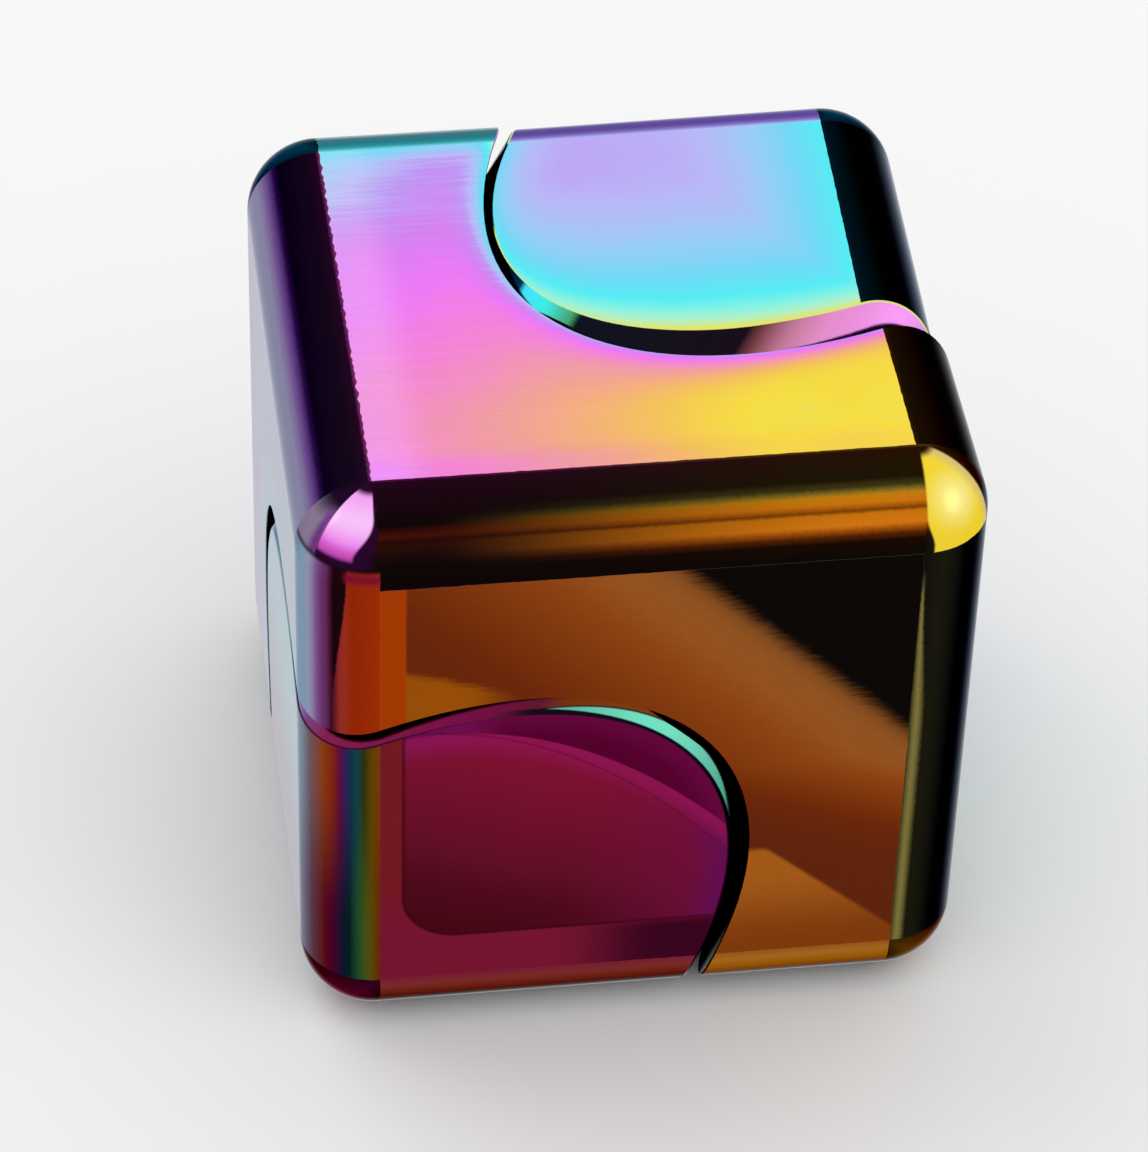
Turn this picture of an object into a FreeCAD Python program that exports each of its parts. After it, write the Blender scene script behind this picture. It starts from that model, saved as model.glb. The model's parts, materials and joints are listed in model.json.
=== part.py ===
import FreeCAD, Part
import math
import os
import Sketcher

from FreeCAD import Placement, Rotation, Vector

# Fidget cube: a rounded cube whose two opposite corners are separate caps.
# The caps are clamped together through a ball bearing on the cube's body diagonal,
# and the middle body spins about that diagonal between them.
# Frame: origin at the cube's centre, +X right, +Y back, +Z up.

doc = FreeCAD.newDocument("FidgetCube")

# ---------------------------------------------------------------- driving dimensions (mm)
DIMENSIONS = {
    "cube_size": 28.0,
    "edge_radius": 3.1,
    "cap_radius": 12.5,
    "upper_cap_turn": -4.6,
    "pocket_radius": 13.05,
    "rim_break": 0.12,
    "web_half": 5.2,
    "cap_floor": 5.75,
    "cap_floor_chamfer": 0.25,
    "bearing_od": 12.7,
    "bearing_bore": 6.35,
    "bearing_width": 4.762,
    "ball_pitch": 9.525,
    "ball_size": 1.588,
    "ball_play": 0.02,
    "inner_land": 8.3,
    "outer_land": 10.7,
    "bearing_chamfer": 0.2,
    "shield_seat": 11.3,
    "shield_seat_depth": 0.62,
    "shield_gauge": 0.18,
    "shield_dish": 0.15,
    "shield_flange": 0.45,
    "shield_play": 0.08,
    "shield_wire": 0.3,
    "wire_play": 0.01,
    "seat_lip": 11.0,
    "seat_lip_width": 0.8,
    "seat_chamfer": 0.4,
    "ring_wire": 0.8,
    "ring_play": 0.02,
    "boss_size": 8.0,
    "spigot_play": 0.01,
    "spigot_length": 2.2,
    "shim_width": 0.2,
    "shim_play": 0.05,
    "thread_size": 4.0,
    "thread_play": 0.02,
    "thread_depth": 6.6,
    "drill_point": 1.2,
    "stud_length": 12.0,
    "stud_chamfer": 0.4,
    "key_corner": 1.155,
    "key_depth": 2.0,
    "cage_inner": 8.9,
    "cage_outer": 10.15,
    "cage_back": 1.3,
    "cage_front": 0.45,
    "cage_play": 0.05,
}

# Sizes that follow from the driving dimensions.
DERIVED = {
    "cube_half": "=cube_size / 2",
    "reach": "=cube_size",
    "floor_rim": "=cap_radius - cap_floor_chamfer",
    "floor_start": "=cap_floor + cap_floor_chamfer",
    "seat_radius": "=bearing_od / 2",
    "bearing_half": "=bearing_width / 2",
    "bearing_edge": "=bearing_width / 2 - bearing_chamfer",
    "bearing_shoulder": "=bearing_od / 2 - bearing_chamfer",
    "bore_radius": "=bearing_bore / 2",
    "bore_shoulder": "=bearing_bore / 2 + bearing_chamfer",
    "pitch_radius": "=ball_pitch / 2",
    "ball_radius": "=ball_size / 2",
    "track_radius": "=ball_size / 2 + ball_play",
    "inner_land_radius": "=inner_land / 2",
    "outer_land_radius": "=outer_land / 2",
    "shield_radius": "=shield_seat / 2",
    "shield_step": "=bearing_width / 2 - shield_seat_depth",
    "shield_top": "=shield_step + shield_gauge",
    "shield_bottom": "=shield_step - shield_dish",
    "dish_top": "=shield_top - shield_dish",
    "shield_bend": "=shield_radius - shield_flange",
    "dish_bend": "=shield_bend - shield_gauge",
    "shield_inner": "=inner_land_radius + shield_play",
    "wire_radius": "=shield_wire / 2",
    "wire_seat": "=shield_wire / 2 + wire_play",
    "wire_level": "=shield_top + shield_wire / 2 + wire_play",
    "lip_radius": "=seat_lip / 2",
    "lip_end": "=bearing_half + seat_lip_width",
    "web_mouth": "=seat_radius + seat_chamfer",
    "mouth_start": "=web_half - seat_chamfer",
    "ring_radius": "=ring_wire / 2",
    "ring_level": "=bearing_half + ring_wire / 2 + ring_play",
    "ring_seat": "=ring_wire / 2 + ring_play",
    "boss_radius": "=boss_size / 2",
    "boss_face": "=bearing_half + shim_width",
    "spigot_radius": "=bore_radius - spigot_play",
    "spigot_end": "=bearing_half - spigot_length",
    "shim_inner": "=bore_radius + shim_play",
    "thread_radius": "=thread_size / 2",
    "tapped_radius": "=thread_radius + thread_play",
    "thread_end": "=spigot_end + thread_depth",
    "thread_tip": "=thread_end + drill_point",
    "stud_half": "=stud_length / 2",
    "stud_edge": "=stud_half - stud_chamfer",
    "stud_tip_radius": "=thread_radius - stud_chamfer",
    "cage_inner_radius": "=cage_inner / 2",
    "cage_outer_radius": "=cage_outer / 2",
    "cage_pocket": "=ball_radius + cage_play",
}

dims = doc.addObject("Spreadsheet::Sheet", "Dimensions")
dims.Label = "dimensions"
for row, (alias, value) in enumerate(list(DIMENSIONS.items()) + list(DERIVED.items()), start=1):
    dims.set("A%d" % row, alias)
    dims.set("B%d" % row, str(value))
    dims.setAlias("B%d" % row, alias)
doc.recompute()


def size(name):
    """Number behind a sheet name, which may carry a minus sign; "0" is zero."""
    if name == "0":
        return 0.0
    if name.startswith("-"):
        return -size(name[1:])
    return float(dims.get(name))


def formula(name):
    """Expression that ties a length to a sheet name."""
    if name.startswith("-"):
        return "-Dimensions." + name[1:]
    return "Dimensions." + name


# ---------------------------------------------------------------- the diagonal
DIAGONAL = Vector(1, 1, 1).normalize()
ACROSS = Vector(1, -1, 0).normalize()
# Turned parts are drawn about their own Z, which this placement turns onto the diagonal.
ON_DIAGONAL = Placement(Vector(), Rotation(ACROSS, DIAGONAL.cross(ACROSS), DIAGONAL, "ZXY"))
# Half sections cut out of the cube parts are drawn with the sketch's Y along the diagonal.
DIAGONAL_SECTION = Placement(Vector(), Rotation(ACROSS, DIAGONAL, ACROSS.cross(DIAGONAL), "YXZ"))
# The same section turned end for end, for the lower cap.
FLIPPED_SECTION = Placement(Vector(), Rotation(ACROSS, -DIAGONAL, DIAGONAL.cross(ACROSS), "YXZ"))


# ---------------------------------------------------------------- drawing helpers
def new_body(name):
    body = doc.addObject("PartDesign::Body", name)
    body.Label = name
    return body


def new_sketch(body, name, plane, offset=None):
    sketch = body.newObject("Sketcher::SketchObject", name)
    planes = [item for item in body.Origin.OriginFeatures if item.Role == plane]
    sketch.AttachmentSupport = [(planes[0], "")]
    sketch.MapMode = "FlatFace"
    if offset is not None:
        sketch.AttachmentOffset = offset
    return sketch


def draw_loop(sketch, corners):
    """Closed polygon through (x name, y name) corners, each tied to the sheet."""
    first = sketch.GeometryCount
    points = [Vector(size(x), size(y), 0) for x, y in corners]
    for start, end in zip(points, points[1:] + points[:1]):
        sketch.addGeometry(Part.LineSegment(start, end), False)
    count = len(corners)
    for index in range(count):
        after = first + (index + 1) % count
        sketch.addConstraint(Sketcher.Constraint("Coincident", first + index, 2, after, 1))
    for index, (x, y) in enumerate(corners):
        pin_point(sketch, first + index, 1, x, y)


def pin_point(sketch, geometry, vertex, x, y):
    """Hold one sketch point at named distances from the sketch origin."""
    for kind, name, zero_axis in (("DistanceX", x, -2), ("DistanceY", y, -1)):
        if name == "0":
            sketch.addConstraint(Sketcher.Constraint("PointOnObject", geometry, vertex, zero_axis))
            continue
        held = sketch.addConstraint(
            Sketcher.Constraint(kind, -1, 1, geometry, vertex, size(name)))
        sketch.setExpression("Constraints[%d]" % held, formula(name))


def draw_circle(sketch, radius, x="0", y="0"):
    circle = sketch.addGeometry(
        Part.Circle(Vector(size(x), size(y), 0), Vector(0, 0, 1), size(radius)), False)
    pin_point(sketch, circle, 3, x, y)
    held = sketch.addConstraint(Sketcher.Constraint("Radius", circle, size(radius)))
    sketch.setExpression("Constraints[%d]" % held, formula(radius))


def draw_hexagon(sketch, corner):
    """Regular hexagon about the origin, its corners on a circle of the named radius."""
    circle = sketch.addGeometry(
        Part.Circle(Vector(), Vector(0, 0, 1), size(corner)), True)
    pin_point(sketch, circle, 3, "0", "0")
    held = sketch.addConstraint(Sketcher.Constraint("Radius", circle, size(corner)))
    sketch.setExpression("Constraints[%d]" % held, formula(corner))
    spokes = [math.radians(60 * turn) for turn in range(7)]
    points = [Vector(math.cos(spoke), math.sin(spoke), 0) * size(corner) for spoke in spokes]
    sides = [sketch.addGeometry(Part.LineSegment(start, end), False)
             for start, end in zip(points, points[1:])]
    for side, after in zip(sides, sides[1:] + sides[:1]):
        sketch.addConstraint(Sketcher.Constraint("Coincident", side, 2, after, 1))
        sketch.addConstraint(Sketcher.Constraint("PointOnObject", side, 1, circle))
    for side in sides[1:]:
        sketch.addConstraint(Sketcher.Constraint("Equal", sides[0], side))
    sketch.addConstraint(Sketcher.Constraint("PointOnObject", sides[0], 1, -1))


def revolve(body, name, sketch, kind="PartDesign::Revolution"):
    turn = body.newObject(kind, name)
    turn.Profile = sketch
    turn.ReferenceAxis = (sketch, ["V_Axis"])
    turn.Angle = 360
    sketch.Visibility = False
    return turn


def turned_part(name, corners, placement=ON_DIAGONAL):
    """Body of revolution from one closed half section."""
    body = new_body(name)
    sketch = new_sketch(body, name + "_section", "XZ_Plane")
    draw_loop(sketch, corners)
    revolve(body, name + "_turned", sketch)
    body.Placement = placement
    return body


def ring_of_wire(name, wire, across, along, opening, placement):
    """Open ring bent from round wire, with a gap left between its ends."""
    body = new_body(name)
    sketch = new_sketch(body, name + "_section", "XZ_Plane")
    draw_circle(sketch, wire, across, along)
    bent = revolve(body, name + "_bend", sketch)
    bent.Angle = 360 - opening
    body.Placement = placement
    return body


def rounded_cube(body):
    """Cube about the origin with every edge and corner rounded."""
    sketch = new_sketch(body, body.Name + "_square", "XY_Plane")
    draw_loop(sketch, [("-cube_half", "-cube_half"), ("cube_half", "-cube_half"),
                       ("cube_half", "cube_half"), ("-cube_half", "cube_half")])
    block = body.newObject("PartDesign::Pad", body.Name + "_block")
    block.Profile = sketch
    block.SideType = "Symmetric"
    block.setExpression("Length", formula("cube_size"))
    sketch.Visibility = False
    doc.recompute()
    rounding = body.newObject("PartDesign::Fillet", body.Name + "_rounding")
    rounding.Base = (block, [""])
    rounding.UseAllEdges = True
    rounding.setExpression("Radius", formula("edge_radius"))
    doc.recompute()
    return rounding


def is_rim(edge, radius):
    """True for an edge that waves round a cylinder of this radius about the diagonal."""
    first, last = edge.ParameterRange
    points = [edge.valueAt(first + (last - first) * step / 6) for step in range(7)]
    levels = [point.dot(DIAGONAL) for point in points]
    on_cylinder = all(abs(point.cross(DIAGONAL).Length - radius) < 0.001 for point in points)
    straight = edge.Length - (points[-1] - points[0]).Length < 0.001
    return on_cylinder and not straight and max(levels) - min(levels) > 0.001


def break_rims(body, cut, radius):
    """Soften the sharp rims where a cylinder about the diagonal meets the cube's skin."""
    names = ["Edge%d" % number for number, edge in enumerate(cut.Shape.Edges, start=1)
             if is_rim(edge, size(radius))]
    rims = body.newObject("PartDesign::Chamfer", body.Name + "_rims")
    rims.Base = (cut, names)
    rims.setExpression("Size", formula("rim_break"))
    doc.recompute()


# ---------------------------------------------------------------- middle body
cube_body = new_body("cube_body")
rounded_cube(cube_body)
section = new_sketch(cube_body, "cube_body_void", "XY_Plane", DIAGONAL_SECTION)
draw_loop(section, [
    ("0", "reach"),
    ("pocket_radius", "reach"),
    ("pocket_radius", "web_half"),
    ("web_mouth", "web_half"),
    ("seat_radius", "mouth_start"),
    ("seat_radius", "-bearing_half"),
    ("lip_radius", "-bearing_half"),
    ("lip_radius", "-lip_end"),
    ("web_mouth", "-web_half"),
    ("pocket_radius", "-web_half"),
    ("pocket_radius", "-reach"),
    ("0", "-reach"),
])
pockets = revolve(cube_body, "cube_body_pockets", section, "PartDesign::Groove")
doc.recompute()
break_rims(cube_body, pockets, "pocket_radius")
section = new_sketch(cube_body, "cube_body_ring_section", "XY_Plane", DIAGONAL_SECTION)
draw_circle(section, "ring_seat", "seat_radius", "ring_level")
revolve(cube_body, "cube_body_ring_groove", section, "PartDesign::Groove")
doc.recompute()


# ---------------------------------------------------------------- corner caps
# The lower cap lies flush with the body; the upper one is clocked a few degrees on its thread.
CLOCKED = Placement(Vector(), Rotation(DIAGONAL, size("upper_cap_turn")))
for name, section_placement, clocking in (("upper_corner_cap", DIAGONAL_SECTION, CLOCKED),
                                          ("lower_corner_cap", FLIPPED_SECTION, Placement())):
    cap = new_body(name)
    rounded_cube(cap)
    section = new_sketch(cap, name + "_surround", "XY_Plane", section_placement)
    draw_loop(section, [
        ("0", "-reach"),
        ("reach", "-reach"),
        ("reach", "reach"),
        ("cap_radius", "reach"),
        ("cap_radius", "floor_start"),
        ("floor_rim", "cap_floor"),
        ("boss_radius", "cap_floor"),
        ("boss_radius", "boss_face"),
        ("spigot_radius", "boss_face"),
        ("spigot_radius", "spigot_end"),
        ("tapped_radius", "spigot_end"),
        ("tapped_radius", "thread_end"),
        ("0", "thread_tip"),
    ])
    corner = revolve(cap, name + "_corner", section, "PartDesign::Groove")
    doc.recompute()
    break_rims(cap, corner, "cap_radius")
    cap.Placement = clocking


# ---------------------------------------------------------------- bearing rings
outer_ring = turned_part("bearing_outer_ring", [
    ("bearing_shoulder", "-bearing_half"),
    ("seat_radius", "-bearing_edge"),
    ("seat_radius", "bearing_edge"),
    ("bearing_shoulder", "bearing_half"),
    ("shield_radius", "bearing_half"),
    ("shield_radius", "shield_step"),
    ("outer_land_radius", "shield_step"),
    ("outer_land_radius", "-shield_step"),
    ("shield_radius", "-shield_step"),
    ("shield_radius", "-bearing_half"),
])
inner_ring = turned_part("bearing_inner_ring", [
    ("bore_shoulder", "-bearing_half"),
    ("inner_land_radius", "-bearing_half"),
    ("inner_land_radius", "bearing_half"),
    ("bore_shoulder", "bearing_half"),
    ("bore_radius", "bearing_edge"),
    ("bore_radius", "-bearing_edge"),
])
for ring in (outer_ring, inner_ring):
    section = new_sketch(ring, ring.Name + "_track_section", "XZ_Plane")
    draw_circle(section, "track_radius", "pitch_radius", "0")
    revolve(ring, ring.Name + "_track", section, "PartDesign::Groove")
for level in ("wire_level", "-wire_level"):
    section = new_sketch(outer_ring, "wire_groove_section", "XZ_Plane")
    draw_circle(section, "wire_seat", "shield_radius", level)
    revolve(outer_ring, "wire_groove", section, "PartDesign::Groove")
doc.recompute()


# ---------------------------------------------------------------- balls and cage
BALL_COUNT = 10
for number in range(BALL_COUNT):
    turn = Placement(Vector(), Rotation(Vector(0, 0, 1), 360 * number / BALL_COUNT))
    ball = doc.addObject("Part::Sphere", "ball_%02d" % (number + 1))
    ball.Label = ball.Name
    ball.setExpression("Radius", formula("ball_radius"))
    ball.Placement = ON_DIAGONAL * turn * Placement(Vector(size("pitch_radius"), 0, 0), Rotation())

cage = turned_part("bearing_cage", [
    ("cage_inner_radius", "-cage_front"),
    ("cage_outer_radius", "-cage_front"),
    ("cage_outer_radius", "cage_back"),
    ("cage_inner_radius", "cage_back"),
])
section = new_sketch(cage, "cage_pocket_section", "YZ_Plane")
draw_circle(section, "cage_pocket")
pocket = cage.newObject("PartDesign::Pocket", "cage_pocket_cut")
pocket.Profile = section
pocket.Type = "ThroughAll"
pocket.Reversed = True
pattern = cage.newObject("PartDesign::PolarPattern", "cage_pockets")
pattern.Originals = [pocket]
pattern.Axis = ([item for item in cage.Origin.OriginFeatures if item.Role == "Z_Axis"][0], [""])
pattern.Angle = 360
pattern.Occurrences = BALL_COUNT
cage.Tip = pattern
doc.recompute()


# ---------------------------------------------------------------- shields, wires and shims
HALF_TURN = Placement(Vector(), Rotation(Vector(1, 0, 0), 180))
for side, placement in (("upper", ON_DIAGONAL), ("lower", ON_DIAGONAL * HALF_TURN)):
    turned_part("bearing_shield_" + side, [
        ("shield_inner", "shield_bottom"),
        ("dish_bend", "shield_bottom"),
        ("shield_bend", "shield_step"),
        ("shield_radius", "shield_step"),
        ("shield_radius", "shield_top"),
        ("shield_bend", "shield_top"),
        ("dish_bend", "dish_top"),
        ("shield_inner", "dish_top"),
    ], placement)
    ring_of_wire("shield_wire_" + side, "wire_radius", "shield_radius", "wire_level", 24, placement)
    turned_part(side + "_shim", [
        ("shim_inner", "bearing_half"),
        ("boss_radius", "bearing_half"),
        ("boss_radius", "boss_face"),
        ("shim_inner", "boss_face"),
    ], placement)

ring_of_wire("bearing_retaining_ring", "ring_radius", "seat_radius", "ring_level", 50, ON_DIAGONAL)


# ---------------------------------------------------------------- clamping stud
stud = turned_part("threaded_stud", [
    ("0", "-stud_half"),
    ("stud_tip_radius", "-stud_half"),
    ("thread_radius", "-stud_edge"),
    ("thread_radius", "stud_edge"),
    ("stud_tip_radius", "stud_half"),
    ("0", "stud_half"),
])
section = new_sketch(stud, "stud_key_section", "XY_Plane")
draw_hexagon(section, "key_corner")
section.setExpression("AttachmentOffset.Base.z", formula("stud_half"))
key = stud.newObject("PartDesign::Pocket", "stud_key_socket")
key.Profile = section
key.setExpression("Length", formula("key_depth"))
doc.recompute()


# ---------------------------------------------------------------- checking and writing
for item in doc.Objects:
    if "Invalid" in item.State or "Error" in item.State:
        raise RuntimeError("%s did not compute: %s" % (item.Label, item.State))

os.makedirs("parts", exist_ok=True)
for item in [found for found in doc.Objects if found.TypeId in ("PartDesign::Body", "Part::Sphere")]:
    if item.Shape.isNull() or not item.Shape.isValid() or len(item.Shape.Solids) != 1:
        raise RuntimeError("%s is not one valid solid" % item.Label)
    item.Shape.exportStep(os.path.join("parts", item.Label + ".step"))
    print("%-24s %10.3f mm3" % (item.Label, item.Shape.Volume))
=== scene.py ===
import json
import math

import bpy
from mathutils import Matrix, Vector


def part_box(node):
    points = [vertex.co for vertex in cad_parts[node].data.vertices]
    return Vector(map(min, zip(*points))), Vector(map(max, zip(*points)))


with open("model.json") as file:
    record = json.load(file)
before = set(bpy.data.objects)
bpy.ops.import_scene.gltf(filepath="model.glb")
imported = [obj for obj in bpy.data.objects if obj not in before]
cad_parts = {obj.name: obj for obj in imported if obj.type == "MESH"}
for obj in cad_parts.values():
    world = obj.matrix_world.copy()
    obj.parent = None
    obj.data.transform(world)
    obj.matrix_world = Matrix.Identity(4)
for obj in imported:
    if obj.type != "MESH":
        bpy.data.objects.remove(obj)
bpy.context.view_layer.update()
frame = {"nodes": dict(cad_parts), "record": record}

# A metal fidget cube under a thin rainbow coating: a middle body between two opposite corner caps.
# The imported model holds every shape. This script gives each piece its material, and sets up the
# floor, the light and the camera. Materials measure in millimetres, the scene in metres. Much of the
# coating's light and dark is painted into its colours, as reflection, highlight and shade, while what
# the metal mirrors is kept nearly even.

MM = 0.001
BODY_LOW, BODY_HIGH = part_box("cube_body")
HALF = (BODY_HIGH.x - BODY_LOW.x) / 2 / MM      # half the cube's side
EDGE = 3.1                                      # radius of the rounded edges
CORE = HALF - EDGE                              # the flats end this far from the centre
CAP_RADIUS = 12.5                               # the caps' side wall, about the diagonal
POCKET_RADIUS = 13.05                           # the wall of the pockets they sit in
CLOCKING = math.radians(-4.6)                   # the upper cap is turned this far on the diagonal
DIAGONAL = Vector((1, 1, 1)).normalized()
AROUND_SIDE = Vector((1, -1, 0)).normalized()   # angles about the diagonal are counted from here
AROUND_UP = DIAGONAL.cross(AROUND_SIDE)
ON_SURFACE = 0.03                               # how near a point is to count as on a surface
SIDE_BLEND = 0.004                              # half the width over which one side's colour starts
GLANCE_SHARE = 0.475                            # white a metal picks up at 82 degrees from square on
RIM_LIGHT = 0.42                                # how much of that white is let through
BUMP_STRENGTH = 0.35
BUMP_HEIGHT = 0.004                             # depth of the tool marks
DEGREES = 180 / math.pi                         # degrees in a radian
WHITE = (255, 255, 255)


# ---------------------------------------------------------------- arithmetic on material nodes
class Field:
    """A number, vector or colour that a material works out at each point of a surface."""

    def __init__(self, tree, socket):
        self.tree = tree
        self.socket = socket

    def __add__(self, other):
        return calc("ADD", self, other)

    def __sub__(self, other):
        return calc("SUBTRACT", self, other)

    def __rsub__(self, other):
        return calc("SUBTRACT", other, self)

    def __mul__(self, other):
        return calc("MULTIPLY", self, other)

    def __truediv__(self, other):
        return calc("DIVIDE", self, other)

    def __neg__(self):
        return calc("MULTIPLY", self, -1)

    def __abs__(self):
        return calc("ABSOLUTE", self)

    def __lt__(self, other):
        return calc("LESS_THAN", self, other)

    __radd__ = __add__


def feed(tree, socket, value):
    """Link a field to a socket, or set a plain value on it."""
    if isinstance(value, Field):
        tree.links.new(value.socket, socket)
    else:
        socket.default_value = value


def node_for(terms, kind, **settings):
    """A new node in the tree that the terms belong to."""
    tree = next(term.tree for term in terms if isinstance(term, Field))
    made = tree.nodes.new(kind)
    for name, value in settings.items():
        setattr(made, name, value)
    return tree, made


def calc(kind, *terms):
    """One step of arithmetic on numbers."""
    tree, made = node_for(terms, "ShaderNodeMath", operation=kind)
    for socket, term in zip(made.inputs, terms):
        feed(tree, socket, term)
    return Field(tree, made.outputs["Value"])


def vector(kind, *terms):
    """One step of arithmetic on vectors."""
    tree, made = node_for(terms, "ShaderNodeVectorMath", operation=kind)
    for socket, term in zip(made.inputs, terms):
        feed(tree, socket, term)
    scalar = kind in ("LENGTH", "DOT_PRODUCT")
    return Field(tree, made.outputs["Value" if scalar else "Vector"])


def scaled(vec, amount):
    """The vector times a number."""
    tree, made = node_for((vec, amount), "ShaderNodeVectorMath", operation="SCALE")
    feed(tree, made.inputs["Vector"], vec)
    feed(tree, made.inputs["Scale"], amount)
    return Field(tree, made.outputs["Vector"])


def parts(vec):
    """The vector's x, y and z."""
    tree, made = node_for((vec,), "ShaderNodeSeparateXYZ")
    feed(tree, made.inputs[0], vec)
    return [Field(tree, made.outputs[axis]) for axis in "XYZ"]


def joined(x, y, z):
    """The vector with these parts."""
    tree, made = node_for((x, y, z), "ShaderNodeCombineXYZ")
    for socket, term in zip(made.inputs, (x, y, z)):
        feed(tree, socket, term)
    return Field(tree, made.outputs[0])


def turned(vec, angle):
    """The vector turned about the cube's diagonal."""
    tree, made = node_for((vec,), "ShaderNodeVectorRotate", rotation_type="AXIS_ANGLE")
    feed(tree, made.inputs["Vector"], vec)
    made.inputs["Axis"].default_value = DIAGONAL
    made.inputs["Angle"].default_value = angle
    return Field(tree, made.outputs["Vector"])


def fade(value, start, end):
    """Rises smoothly from 0 at start to 1 at end; start may be the larger."""
    tree, made = node_for((value,), "ShaderNodeMapRange", interpolation_type="SMOOTHSTEP")
    for name, term in (("Value", value), ("From Min", start), ("From Max", end)):
        feed(tree, made.inputs[name], term)
    return Field(tree, made.outputs["Result"])


def hump(value, centre, width):
    """1 at the centre, falling smoothly to 0 at the width either side."""
    return fade(abs(value - centre), width, 0)


def exponential(value):
    """e to the power of the value."""
    return calc("EXPONENT", value)


def noise(vec, scale=1.0, detail=2.0, roughness=0.5):
    """Smooth noise about zero, within half a unit either way."""
    tree, made = node_for((vec,), "ShaderNodeTexNoise")
    feed(tree, made.inputs["Vector"], vec)
    made.inputs["Scale"].default_value = scale
    made.inputs["Detail"].default_value = detail
    made.inputs["Roughness"].default_value = roughness
    return Field(tree, made.outputs["Fac"]) - 0.5


def linear(colour):
    """Linear RGBA, by the sRGB curve, of a colour given as red, green and blue from 0 to 255."""
    channels = [channel / 255 for channel in colour]
    return [c / 12.92 if c < 0.04045 else ((c + 0.055) / 1.055) ** 2.4 for c in channels] + [1.0]


def mix(share, low, high):
    """Blend of two colours, each a field or red, green and blue from 0 to 255."""
    tree, made = node_for((share, low, high), "ShaderNodeMix", data_type="RGBA")
    feed(tree, made.inputs[0], share)
    for socket, colour in ((made.inputs[6], low), (made.inputs[7], high)):
        feed(tree, socket, colour if isinstance(colour, Field) else linear(colour))
    return Field(tree, made.outputs[2])


def mix_vector(share, low, high):
    """Blend of two vectors."""
    tree, made = node_for((share, low, high), "ShaderNodeMix", data_type="VECTOR")
    feed(tree, made.inputs[0], share)
    feed(tree, made.inputs[4], low)
    feed(tree, made.inputs[5], high)
    return Field(tree, made.outputs[1])


def dimmed(colour, light):
    """The colour times a light level."""
    tree, made = node_for((colour,), "ShaderNodeMix", data_type="RGBA", blend_type="MULTIPLY")
    made.inputs[0].default_value = 1.0
    feed(tree, made.inputs[6], colour)
    tree.links.new(joined(light, light, light).socket, made.inputs[7])
    return Field(tree, made.outputs[2])


def bands(value, stops):
    """Colours laid along a value: stops are (value, colour), in rising order."""
    first, last = stops[0][0], stops[-1][0]
    tree, made = node_for((value,), "ShaderNodeValToRGB")
    feed(tree, made.inputs[0], (value - first) / (last - first))
    points = made.color_ramp.elements
    while len(points) < len(stops):
        points.new(1.0)
    for point, (place, colour) in zip(points, stops):
        point.position = (place - first) / (last - first)
        point.color = linear(colour)
    return Field(tree, made.outputs["Color"])


# ---------------------------------------------------------------- the rainbow coating
# Colour of the coating as its thickness grows, seen bright and seen deep: the deep copy is the same film
# darker, painted shade for the sides and underneath.
BRIGHT_FILM = [
    (0.00, (244, 220, 66)), (0.07, (241, 194, 88)), (0.12, (243, 174, 124)), (0.17, (239, 160, 152)),
    (0.22, (239, 149, 178)), (0.28, (241, 134, 208)), (0.34, (239, 126, 228)), (0.38, (235, 121, 245)),
    (0.44, (214, 129, 240)), (0.50, (191, 150, 243)), (0.54, (184, 182, 244)), (0.60, (152, 203, 245)),
    (0.67, (112, 215, 243)), (0.74, (86, 234, 242)), (0.80, (132, 240, 225)), (0.87, (176, 238, 196)),
    (0.94, (212, 230, 130)), (1.00, (244, 220, 66)),
]
SHADED_FILM = [
    (0.00, (126, 108, 38)), (0.07, (150, 88, 30)), (0.14, (132, 54, 14)), (0.22, (140, 30, 18)),
    (0.30, (128, 18, 56)), (0.40, (104, 18, 84)), (0.49, (80, 34, 122)), (0.57, (56, 60, 140)),
    (0.65, (38, 92, 146)), (0.73, (28, 110, 126)), (0.81, (30, 112, 92)), (0.89, (62, 110, 48)),
    (1.00, (126, 108, 38)),
]


def film(phase, depth):
    """Coating colour where the phase runs once through the rainbow from 0 to 1; depth blends it towards
    the darker copy, painted shade.
    """
    cycle = calc("FRACT", phase)
    return mix(depth, bands(cycle, BRIGHT_FILM), bands(cycle, SHADED_FILM))


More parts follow.
